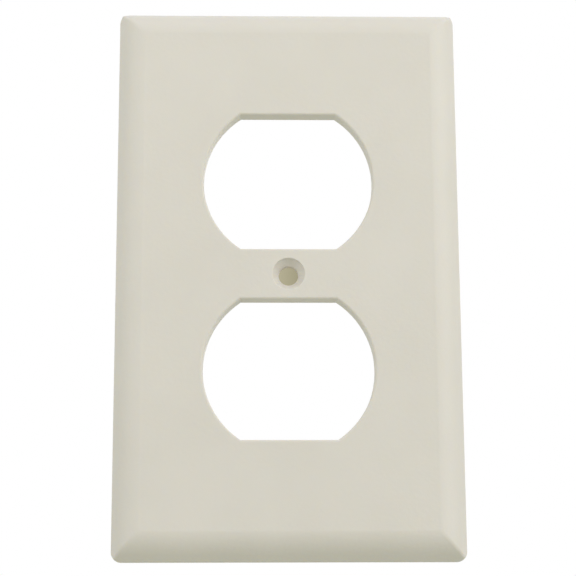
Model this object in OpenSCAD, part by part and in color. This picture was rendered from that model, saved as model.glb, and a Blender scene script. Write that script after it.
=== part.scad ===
// One-gang wall plate for a duplex receptacle: a single hollow-backed moulding.
// The face looks along -Y, the plate stands upright along +Z, and its rim lies
// on the wall plane Y = 0 with the cover screw's axis at the origin.

/* [Plate] */
// Width across the rim
plate_w = 69.85; // [69:0.05:71]
// Height across the rim
plate_h = 114.3; // [113:0.1:116]
// Depth from the wall to the flat of the face
plate_d = 5.6; // [5.4:0.1:6.2]
// Radius of the outline at each corner
corner_r = 2; // [1:0.1:3]

/* [Curved edge] */
// Run of the curved edge, from the flat of the face to the outline
edge_run = 5.7; // [5.4:0.1:6]
// Tilt of the curve where it leaves the face
curve_start = 4; // [0:1:8]
// Run of the straight slope below the curve
slope_run = 1.05; // [0.8:0.05:1.1]
// Steepness of that slope, from the plane of the face
slope_angle = 58; // [54:1:58]

/* [Wall thickness] */
// Thickness of the face
face_t = 2.4; // [2:0.1:2.8]
// Thickness of the skirt where it meets the wall
skirt_t = 1.8; // [1.4:0.1:2]
// Radius in the corners of the hollow
hollow_r = 1.2; // [0.8:0.1:1.6]

/* [Receptacle openings] */
// Diameter of the round sides of each opening, at the face
opening_d = 34.4; // [34:0.1:35]
// Distance between the two flats of each opening, at the face
opening_flats = 28.5; // [28:0.1:29]
// Distance between the centres of the openings
opening_pitch = 38.9; // [38.7:0.1:39.1]
// Draft of the walls of the openings, narrowing towards the wall
opening_draft = 1; // [0:0.25:2]
// Width of the collar behind each opening
collar_w = 1.3; // [1:0.1:1.6]
// Height of the collar, from the face
collar_d = 3.4; // [3:0.1:3.8]

/* [Cover screw] */
// Diameter of the clearance hole
bore_d = 3.97; // [3.9:0.01:4.1]
// Diameter of the recess for the screw's head
recess_d = 6.4; // [6:0.1:7.2]
// Depth of the straight part of that recess
recess_straight = 0.6; // [0.4:0.1:1]
// Angle of the countersink below it
sink_angle = 82; // [82:1:90]
// Diameter of the boss behind the hole
boss_d = 8.6; // [8.2:0.1:9.4]
// Gap that the boss leaves in front of the wall, for the device's strap
strap_gap = 1.4; // [1.2:0.1:1.5]

/* [Back ribs] */
// Thickness of each rib
rib_t = 1; // [0.8:0.1:1.4]
// Height of each rib over the back of the face
rib_h = 1; // [0.6:0.1:1.2]
// Distance between the two upright ribs at each end
end_rib_pitch = 16; // [12:0.5:18]
// Diameter of the round marks left by the ejector pins
pin_mark_d = 3.2; // [2.5:0.1:4]
// Depth of those marks
pin_mark_depth = 0.15; // [0.1:0.05:0.3]

/* [Hidden] */
$fn = 128;

// The curve is an arc from its tilt at the face to the slope's own angle.
curve_run = edge_run - slope_run;
curve_r = curve_run / (sin(slope_angle) - sin(curve_start));
curve_drop = curve_r * (cos(curve_start) - cos(slope_angle));
slope_drop = slope_run * tan(slope_angle);
land_h = plate_d - curve_drop - slope_drop;

hollow_floor = plate_d - face_t;
// Run of the slope inside the hollow, from the skirt to the floor.
hollow_slope = slope_run + curve_run / 2;
// Where the ribs end inside that slope.
rib_end_x = plate_w / 2 - skirt_t - hollow_slope / 3;
rib_end_z = plate_h / 2 - skirt_t - hollow_slope / 3;
opening_z = opening_pitch / 2;
sink_drop = (recess_d - bore_d) / 2 / tan(sink_angle / 2);
boss_back = -strap_gap;
// Facets of the curved edge, from the face to the slope.
curve_steps = 12;
// How far a cutter runs past the faces that it opens.
past = 1;
// How far ribs, collars and boss sink into the face that they grow from.
root = 0.4;
// Middles of the ejector pins' marks.
pin_mark_x = [-27, 27];
pin_mark_z = [-49, -8, 8, 49];

// The section across the plate: flat face, then curve, slope and land down each side.
module edge_section(width) {
    half = width / 2;
    curve_x = half - edge_run;
    slope_top = [half - slope_run, -land_h - slope_drop];
    curve = [for (i = [0 : curve_steps - 1])
        let (a = curve_start + (slope_angle - curve_start) * i / curve_steps)
        [curve_x + curve_r * (sin(a) - sin(curve_start)),
         -plate_d + curve_r * (cos(curve_start) - cos(a))]];
    side = concat(curve, [slope_top, [half, -land_h], [half, 0]]);
    mirrored = [for (i = [len(side) - 1 : -1 : 0]) [-side[i].x, side[i].y]];
    polygon(concat(side, mirrored));
}

// The hollow's outline: upright inside the skirt, then sloping in under the curve.
module hollow_section(width) {
    half = width / 2 - skirt_t;
    foot = half - hollow_slope;
    polygon([[-half, past], [half, past], [half, -land_h],
             [foot, -hollow_floor], [-foot, -hollow_floor], [-half, -land_h]]);
}

// A section in X and Y drawn out along Z.
module along_z(length) {
    translate([0, 0, -length / 2]) linear_extrude(length) children();
}

// The same section turned to lie in Z and Y, and drawn out along X.
module along_x(length) {
    rotate([0, 90, 0]) translate([0, 0, -length / 2]) linear_extrude(length) children();
}

// A rectangle with round corners in X and Z, from depth y0 back to depth y1.
module rounded_block(width, height, radius, y0, y1) {
    translate([0, y1, 0]) rotate([90, 0, 0]) linear_extrude(y1 - y0) {
        square([width - 2 * radius, height], center = true);
        square([width, height - 2 * radius], center = true);
        for (x = [-1, 1], z = [-1, 1])
            translate([x * (width / 2 - radius), z * (height / 2 - radius)])
                circle(radius);
    }
}

// A cone or cylinder along Y, between depths y0 and y1.
module round_y(y0, y1, d0, d1) {
    translate([0, y0, 0]) rotate([-90, 0, 0])
        cylinder(h = y1 - y0, d1 = d0, d2 = d1);
}

// A round opening cut by two flats; margin grows it all round.
module opening(y0, y1, margin) {
    function taper(y) = 2 * margin - 2 * (y + plate_d) * tan(opening_draft);
    intersection() {
        round_y(y0, y1, opening_d + taper(y0), opening_d + taper(y1));
        along_x(opening_d + 4 * collar_w) polygon([
            [-(opening_flats + taper(y0)) / 2, y0], [(opening_flats + taper(y0)) / 2, y0],
            [(opening_flats + taper(y1)) / 2, y1], [-(opening_flats + taper(y1)) / 2, y1]]);
    }
}

module shell() {
    difference() {
        intersection() {
            along_z(plate_h) edge_section(plate_w);
            along_x(plate_w) edge_section(plate_h);
            rounded_block(plate_w, plate_h, corner_r, -plate_d - past, past);
        }
        intersection() {
            along_z(plate_h) hollow_section(plate_w);
            along_x(plate_w) hollow_section(plate_h);
            rounded_block(plate_w - 2 * skirt_t, plate_h - 2 * skirt_t, hollow_r,
                          -plate_d, 2 * past);
        }
    }
}

// A rib standing on the back of the face, between two corners in X and Z.
module rib(x0, x1, z0, z1) {
    translate([x0, -hollow_floor - root, z0]) cube([x1 - x0, rib_h + root, z1 - z0]);
}

module back_ribs() {
    collar_x = (opening_d + collar_w) / 2;
    collar_z = opening_z + (opening_flats + collar_w) / 2;
    // Across the web between the openings, through the boss.
    rib(-rib_end_x, rib_end_x, -rib_t / 2, rib_t / 2);
    // From each side of each collar out to the skirt.
    for (z = [-opening_z, opening_z]) {
        rib(-rib_end_x, -collar_x, z - rib_t / 2, z + rib_t / 2);
        rib(collar_x, rib_end_x, z - rib_t / 2, z + rib_t / 2);
    }
    // From the collars up and down to the ends of the skirt.
    for (x = [-end_rib_pitch / 2, end_rib_pitch / 2]) {
        rib(x - rib_t / 2, x + rib_t / 2, collar_z, rib_end_z);
        rib(x - rib_t / 2, x + rib_t / 2, -rib_end_z, -collar_z);
    }
}

module pin_marks() {
    for (x = pin_mark_x, z = pin_mark_z) translate([x, 0, z])
        round_y(-hollow_floor - pin_mark_depth, -hollow_floor + root, pin_mark_d, pin_mark_d);
}

// The plate before its holes are cut.
module solid_plate() {
    shell();
    back_ribs();
    for (z = [-opening_z, opening_z]) translate([0, 0, z])
        opening(-hollow_floor - root, collar_d - plate_d, collar_w);
    round_y(-hollow_floor - root, boss_back, boss_d, boss_d);
}

// The countersunk hole for the cover screw.
module screw_hole() {
    sink_y = recess_straight - plate_d;
    round_y(-plate_d - past, past, bore_d, bore_d);
    round_y(-plate_d - past, sink_y, recess_d, recess_d);
    round_y(sink_y, sink_y + sink_drop, recess_d, bore_d);
}

module wall_plate() {
    color("#d8d4c7") difference() {
        solid_plate();
        for (z = [-opening_z, opening_z]) translate([0, 0, z])
            opening(-plate_d - past, past, 0);
        screw_hole();
        pin_marks();
    }
}

wall_plate();
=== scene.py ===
import math

import bmesh
import bpy
from mathutils import Matrix, Vector


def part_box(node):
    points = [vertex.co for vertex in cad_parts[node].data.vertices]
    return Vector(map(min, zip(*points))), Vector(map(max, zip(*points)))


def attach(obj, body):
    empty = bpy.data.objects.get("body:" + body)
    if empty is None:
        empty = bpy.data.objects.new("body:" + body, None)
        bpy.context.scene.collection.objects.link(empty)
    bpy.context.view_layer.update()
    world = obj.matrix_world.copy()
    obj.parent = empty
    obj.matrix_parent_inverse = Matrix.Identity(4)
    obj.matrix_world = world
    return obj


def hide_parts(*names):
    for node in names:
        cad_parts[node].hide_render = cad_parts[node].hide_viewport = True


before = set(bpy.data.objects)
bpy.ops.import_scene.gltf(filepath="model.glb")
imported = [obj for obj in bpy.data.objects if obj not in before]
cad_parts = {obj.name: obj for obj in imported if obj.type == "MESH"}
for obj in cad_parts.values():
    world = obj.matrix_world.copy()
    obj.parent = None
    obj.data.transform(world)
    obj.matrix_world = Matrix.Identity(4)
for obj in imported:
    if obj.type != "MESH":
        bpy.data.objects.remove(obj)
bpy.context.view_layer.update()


# Wall plate: one injection moulding in light almond plastic, with rolled and mitred edges, two openings and
# a hollow back that has a screw boss, collars and low ribs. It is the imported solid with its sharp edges
# eased a little, as they are on a moulding. The cover screw pulls its rim against the wall.
MM = 0.001
TOUCHING = 0.001 * MM  # points this near to each other are one point
SLACK = 0.02 * MM  # a point this near to a plane or to a mitre is on it
FLAT = 0.2  # degrees: faces that differ by less are one flat face
FACET = 8  # degrees: a fold past this is more than a facet of a curve
SQUARE = 60  # degrees: a fold past this is a square edge


def merged_copy(node):
    """The node's loose triangles as one closed mesh whose flat faces are joined up."""
    bm = bmesh.new()
    bm.from_mesh(bpy.data.objects[node].data)
    bmesh.ops.remove_doubles(bm, verts=bm.verts, dist=TOUCHING)
    bmesh.ops.dissolve_limit(bm, angle_limit=math.radians(FLAT), verts=bm.verts, edges=bm.edges)
    return bm


plate_bm = merged_copy("wall_plate")
low, high = (Vector(corner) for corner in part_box("wall_plate"))
FACE_Y = low.y  # the flat of the face
RIM_Y = high.y  # the rim, on the wall
FLOOR_Y = -3.2 * MM  # the floor of the hollow
COLLAR_Y = -2.2 * MM  # the flat ends of the collars
BOSS_Y = -1.4 * MM  # the flat end of the screw boss
FOOT_Y = min(v.co.y for v in plate_bm.verts if abs(v.co.x) > high.x - TOUCHING)  # where the slope ends
SKIRT = 2 * MM  # the foot of the slope lies within this of the outline
MITRE_RUN = 5.8 * MM  # how far in from the outline the rolled edges reach
MITRE_END = 0.7 * MM  # how far in from it the mitres run out, in the rounded corners
SCREW_REACH = 4 * MM  # no edge of an opening comes this near to the screw's axis


def fold(edge):
    """How sharply two faces meet at an edge, in degrees: ridges are positive, inner corners negative."""
    return math.degrees(edge.calc_face_angle_signed())


def level(edge, y):
    """True if the edge lies in the plane at depth y."""
    return all(abs(v.co.y - y) < SLACK for v in edge.verts)


def inset(vert):
    """How far a point is in from the outline, along X and along Z."""
    return high.x - abs(vert.co.x), high.z - abs(vert.co.z)


def on_diagonal(vert):
    """True if the point is equally far in along X and along Z, as the mitres are."""
    across, up = inset(vert)
    return abs(across - up) < SLACK


def along_foot(edge):
    """True for the bend from the slope to the upright land, which also runs round each corner."""
    bent = FACET < fold(edge) < SQUARE
    outside = all(v.co.y < FOOT_Y + SLACK and min(inset(v)) < SKIRT for v in edge.verts)
    return bent and outside and not all(on_diagonal(v) for v in edge.verts)


def along_mitre(edge):
    """True for the crease where two rolled edges meet."""
    middle = sum(min(inset(v)) for v in edge.verts) / 2
    in_line = all(on_diagonal(v) and v.co.y < FOOT_Y for v in edge.verts)
    return in_line and fold(edge) > FACET and MITRE_END < middle < MITRE_RUN


def square_at(y):
    """A test that is true for the square ridges in the plane at depth y."""
    return lambda edge: level(edge, y) and fold(edge) > SQUARE


def near_screw(edge):
    """True for an edge close round the screw's axis."""
    return all(math.hypot(v.co.x, v.co.z) < SCREW_REACH for v in edge.verts)


def mouth_of_opening(edge):
    """True for the front edge of a receptacle opening."""
    return square_at(FACE_Y)(edge) and not near_screw(edge)


def mouth_of_recess(edge):
    """True for the front edge of the screw's recess."""
    return square_at(FACE_Y)(edge) and near_screw(edge)


def round_the_floor(edge):
    """True for the inner corners at the floor of the hollow."""
    return level(edge, FLOOR_Y) and fold(edge) < -SQUARE


def ease(wanted, radius, segments):
    """Round the edges of the plate that wanted() picks."""
    edges = [e for e in plate_bm.edges if wanted(e)]
    bmesh.ops.bevel(plate_bm, geom=edges, offset=radius, offset_type="OFFSET", affect="EDGES",
                    segments=segments, profile=0.5, material=-1)


BROAD = 0.45 * MM  # the easing that shows most, on the mitres and the mouths of the openings
MIDDLING = 0.25 * MM  # the easing of the foot and of the hollow's inner corners
FINE = 0.2 * MM  # the easing of the recess, the rim, the collars and the boss
ease(along_foot, MIDDLING, 2)
ease(along_mitre, BROAD, 3)
ease(mouth_of_opening, BROAD, 4)
ease(mouth_of_recess, FINE, 3)
for end_y in (RIM_Y, BOSS_Y, COLLAR_Y):
    ease(square_at(end_y), FINE, 3)
ease(round_the_floor, MIDDLING, 4)
bmesh.ops.dissolve_degenerate(plate_bm, dist=TOUCHING, edges=plate_bm.edges)

SOFT_RIDGE = 40  # degrees: a sharper ridge is shaded as a crease
SOFT_CORNER = 25  # degrees: and so is a sharper inner corner
for edge in plate_bm.edges:
    edge.smooth = -SOFT_CORNER < fold(edge) < SOFT_RIDGE
for face in plate_bm.faces:
    face.smooth = True
plate_mesh = bpy.data.meshes.new("duplex_wall_plate")
plate_bm.to_mesh(plate_mesh)
plate_bm.free()
plate = bpy.data.objects.new("duplex_wall_plate", plate_mesh)
bpy.context.collection.objects.link(plate)
shading = plate.modifiers.new("even_shading", "WEIGHTED_NORMAL")
shading.keep_sharp = True
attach(plate, "root")
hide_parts("wall_plate")


def linear(hex_colour):
    """An sRGB hex colour as linear RGBA."""
    parts = [int(hex_colour[i:i + 2], 16) / 255 for i in (1, 3, 5)]
    return [c / 12.92 if c <= 0.04045 else ((c + 0.055) / 1.055) ** 2.4 for c in parts] + [1]


def add(tree, kind, settings=None, links=None):
    """Add a node. Settings go to its properties or its sockets, and links join its sockets to others."""
    node = tree.nodes.new(kind)
    for name, value in (settings or {}).items():
        if isinstance(name, str) and hasattr(node, name):
            setattr(node, name, value)
        else:
            node.inputs[name].default_value = value
    for name, socket in (links or {}).items():
        tree.links.new(socket, node.inputs[name])
    return node


def empty_material(name):
    """A new material and its node tree, with nothing in the tree yet."""
    material = bpy.data.materials.new(name)
    material.use_nodes = True
    material.node_tree.nodes.clear()
    return material, material.node_tree


FIRST_COLOUR = 6  # the socket of a Mix node that takes its first colour
SECOND_COLOUR = 7  # and the one that takes its second
MOTTLE = 14 * MM  # the size of the patches that differ faintly in tone and sheen
PEEL = 0.9 * MM  # the width of a bump of the orange peel
PEEL_HEIGHT = 0.03 * MM


def light_almond_plastic():
    """Light almond thermoplastic, moulded against finely blasted steel, with one finish on both sides.

    To the eye it is satin: a broad, soft sheen, a faint orange peel and hardly any change of tone. Light
    goes a little way in, so that the shading is softer and slightly warmer at the edges. The peel of a
    real plate is finer, and is drawn as coarse as it needs to be to show.
    """
    material, tree = empty_material("light_almond_moulded_plastic")
    place = add(tree, "ShaderNodeTexCoord").outputs["Object"]
    mottle = add(tree, "ShaderNodeTexNoise", {"Scale": 1 / MOTTLE, "Detail": 3}, {"Vector": place})
    tone = add(tree, "ShaderNodeMix", {
        "data_type": "RGBA", FIRST_COLOUR: linear("#DAD5CE"), SECOND_COLOUR: linear("#E0DBD5"),
    }, {0: mottle.outputs["Fac"]})
    peel = add(tree, "ShaderNodeTexNoise", {"Scale": 1 / PEEL, "Detail": 2}, {"Vector": place})
    bump = add(tree, "ShaderNodeBump", {"Strength": 1.0, "Distance": PEEL_HEIGHT},
               {"Height": peel.outputs["Fac"]})
    roughness = add(tree, "ShaderNodeMapRange", {"To Min": 0.42, "To Max": 0.52},
                    {"Value": mottle.outputs["Fac"]})
    shader = add(tree, "ShaderNodeBsdfPrincipled", {
        "IOR": 1.5,
        "Subsurface Weight": 0.4,
        "Subsurface Radius": (1.0, 0.8, 0.5),
        "Subsurface Scale": 0.3 * MM,
    }, {"Base Color": tone.outputs[2], "Roughness": roughness.outputs[0], "Normal": bump.outputs[0]})
    add(tree, "ShaderNodeOutputMaterial", None, {"Surface": shader.outputs["BSDF"]})
    return material


plate_mesh.materials.append(light_almond_plastic())


# Floor: a sheet of pale matt board, well below the plate. The softboxes don't light it, and the plate gets
# no light or shade from it, so it looks even from every side.
FLOOR_DROP = 115 * MM  # from the screw hole down to the board
FLOOR_REACH = 12  # metres from its middle to its sides, which is too far for them to show
WHITE = (1, 1, 1, 1)


def stage_piece(name, bm, material):
    """A piece of the set, which is no part of the object."""
    mesh = bpy.data.meshes.new(name)
    bm.to_mesh(mesh)
    bm.free()
    mesh.materials.append(material)
    piece = bpy.data.objects.new(name, mesh)
    bpy.context.collection.objects.link(piece)
    return piece


board, tree = empty_material("pale_matt_board")
shader = add(tree, "ShaderNodeBsdfPrincipled", {
    "Base Color": linear("#EDEEEF"),
    "Roughness": 0.9,
    "Emission Color": WHITE,
    "Emission Strength": 0.3,
})
add(tree, "ShaderNodeOutputMaterial", None, {"Surface": shader.outputs["BSDF"]})
floor_bm = bmesh.new()
bmesh.ops.create_grid(floor_bm, x_segments=1, y_segments=1, size=FLOOR_REACH)
bmesh.ops.translate(floor_bm, verts=floor_bm.verts, vec=(0, 0, -FLOOR_DROP))
floor = stage_piece("floor", floor_bm, board)
for kind in ("diffuse", "glossy", "transmission", "shadow"):
    setattr(floor, "visible_" + kind, False)


# Shade behind the screw hole: the plate keeps the light off the wall there, so that a patch of shade shows
# through the hole. A disc in the hole stands for it: it glows to the front and is clear from behind.
SHADE_R = 1.98 * MM  # just inside the hole
SHADE_Y = -2.5 * MM  # in the straight part of the hole
SHADE_FADE = 2 * MM  # how far to each side its tone changes, darker to the right

shade_material, tree = empty_material("wall_in_shade")
place = add(tree, "ShaderNodeSeparateXYZ", None, {0: add(tree, "ShaderNodeTexCoord").outputs["Object"]})
across = add(tree, "ShaderNodeMapRange", {"From Min": -SHADE_FADE, "From Max": SHADE_FADE},
             {"Value": place.outputs["X"]})
shade_tone = add(tree, "ShaderNodeMix", {
    "data_type": "RGBA", FIRST_COLOUR: linear("#B5AF94"), SECOND_COLOUR: linear("#A49E83"),
}, {0: across.outputs[0]})
glow = add(tree, "ShaderNodeEmission", {"Strength": 1.0}, {"Color": shade_tone.outputs[2]})
clear = add(tree, "ShaderNodeBsdfTransparent")
behind = add(tree, "ShaderNodeNewGeometry").outputs["Backfacing"]
one_way = add(tree, "ShaderNodeMixShader", None, {0: behind, 1: glow.outputs[0], 2: clear.outputs[0]})
add(tree, "ShaderNodeOutputMaterial", None, {"Surface": one_way.outputs[0]})
shade_bm = bmesh.new()
bmesh.ops.create_circle(shade_bm, cap_ends=True, segments=32, radius=SHADE_R)
bmesh.ops.rotate(shade_bm, verts=shade_bm.verts, matrix=Matrix.Rotation(math.radians(90), 3, "X"))
bmesh.ops.translate(shade_bm, verts=shade_bm.verts, vec=(0, SHADE_Y, 0))
stage_piece("shade_behind_screw_hole", shade_bm, shade_material)


# Light: a pale room, a little darker below, and three square softboxes that light the plate alone. The
# strongest is in front to the right, and the others are in front to the left and behind.
ROOM_BELOW = (0.59, 0.605, 0.515, 1)  # linear
ROOM_ABOVE = (0.69, 0.70, 0.665, 1)  # linear
HORIZON = 0.2  # how steeply up or down a direction points where one tone has given way to the other

scene = bpy.context.scene
scene.view_settings.view_transform = "Standard"
world = bpy.data.worlds.new("white_room")
scene.world = world
world.use_nodes = True
tree = world.node_tree
tree.nodes.clear()
place = add(tree, "ShaderNodeTexCoord").outputs["Generated"]
direction = add(tree, "ShaderNodeSeparateXYZ", None, {0: place})
height = add(tree, "ShaderNodeMapRange", {"From Min": -HORIZON, "From Max": HORIZON},
             {"Value": direction.outputs["Z"]})
ambient = add(tree, "ShaderNodeMix", {
    "data_type": "RGBA", FIRST_COLOUR: ROOM_BELOW, SECOND_COLOUR: ROOM_ABOVE,
}, {0: height.outputs[0]})
lit = add(tree, "ShaderNodeBackground", {"Strength": 1.0}, {"Color": ambient.outputs[2]})
seen = add(tree, "ShaderNodeBackground", {"Color": WHITE, "Strength": 1.0})
by_camera = add(tree, "ShaderNodeLightPath").outputs["Is Camera Ray"]
room = add(tree, "ShaderNodeMixShader", None, {0: by_camera, 1: lit.outputs[0], 2: seen.outputs[0]})
add(tree, "ShaderNodeOutputWorld", None, {"Surface": room.outputs[0]})

lit_by_softboxes = bpy.data.collections.new("lit_by_softboxes")
lit_by_softboxes.objects.link(plate)


def bearing(azimuth, elevation):
    """A unit vector out from the plate. Azimuth 0 is straight in front of the face, 90 is to its right."""
    turn = math.radians(azimuth)
    rise = math.radians(elevation)
    return Vector((math.sin(turn) * math.cos(rise), -math.cos(turn) * math.cos(rise), math.sin(rise)))


def softbox(name, azimuth, elevation, distance, power):
    """A square light that aims at the plate and is as wide as it is far away, in metres and watts."""
    data = bpy.data.lights.new(name, "AREA")
    data.size = distance
    data.energy = power
    light = bpy.data.objects.new(name, data)
    light.location = bearing(azimuth, elevation) * distance
    light.rotation_euler = (-light.location).to_track_quat("-Z", "Y").to_euler()
    light.visible_camera = False
    light.light_linking.receiver_collection = lit_by_softboxes
    bpy.context.collection.objects.link(light)


softbox("right_softbox", azimuth=50, elevation=22, distance=0.6, power=1.62)
softbox("left_softbox", azimuth=-50, elevation=22, distance=0.4, power=0.36)
softbox("back_softbox", azimuth=160, elevation=28, distance=0.5, power=0.4)


# Camera: a long lens that looks up at the plate from below and a hair to the left, and is rolled very
# slightly.
AIM = Vector((0, 0, -1.571 * MM))  # the point that it looks at
DISTANCE = 388 * MM  # from there to the lens
LENS = 119.3  # its focal length in millimetres
ROLL = -0.273  # degrees

camera_data = bpy.data.cameras.new("camera")
camera_data.lens = LENS
camera = bpy.data.objects.new("camera", camera_data)
away = bearing(azimuth=-1.42, elevation=-14.3)
camera.location = AIM + away * DISTANCE
facing = (-away).to_track_quat("-Z", "Y").to_matrix() @ Matrix.Rotation(math.radians(ROLL), 3, "Z")
camera.rotation_euler = facing.to_euler()
bpy.context.collection.objects.link(camera)
scene.camera = camera
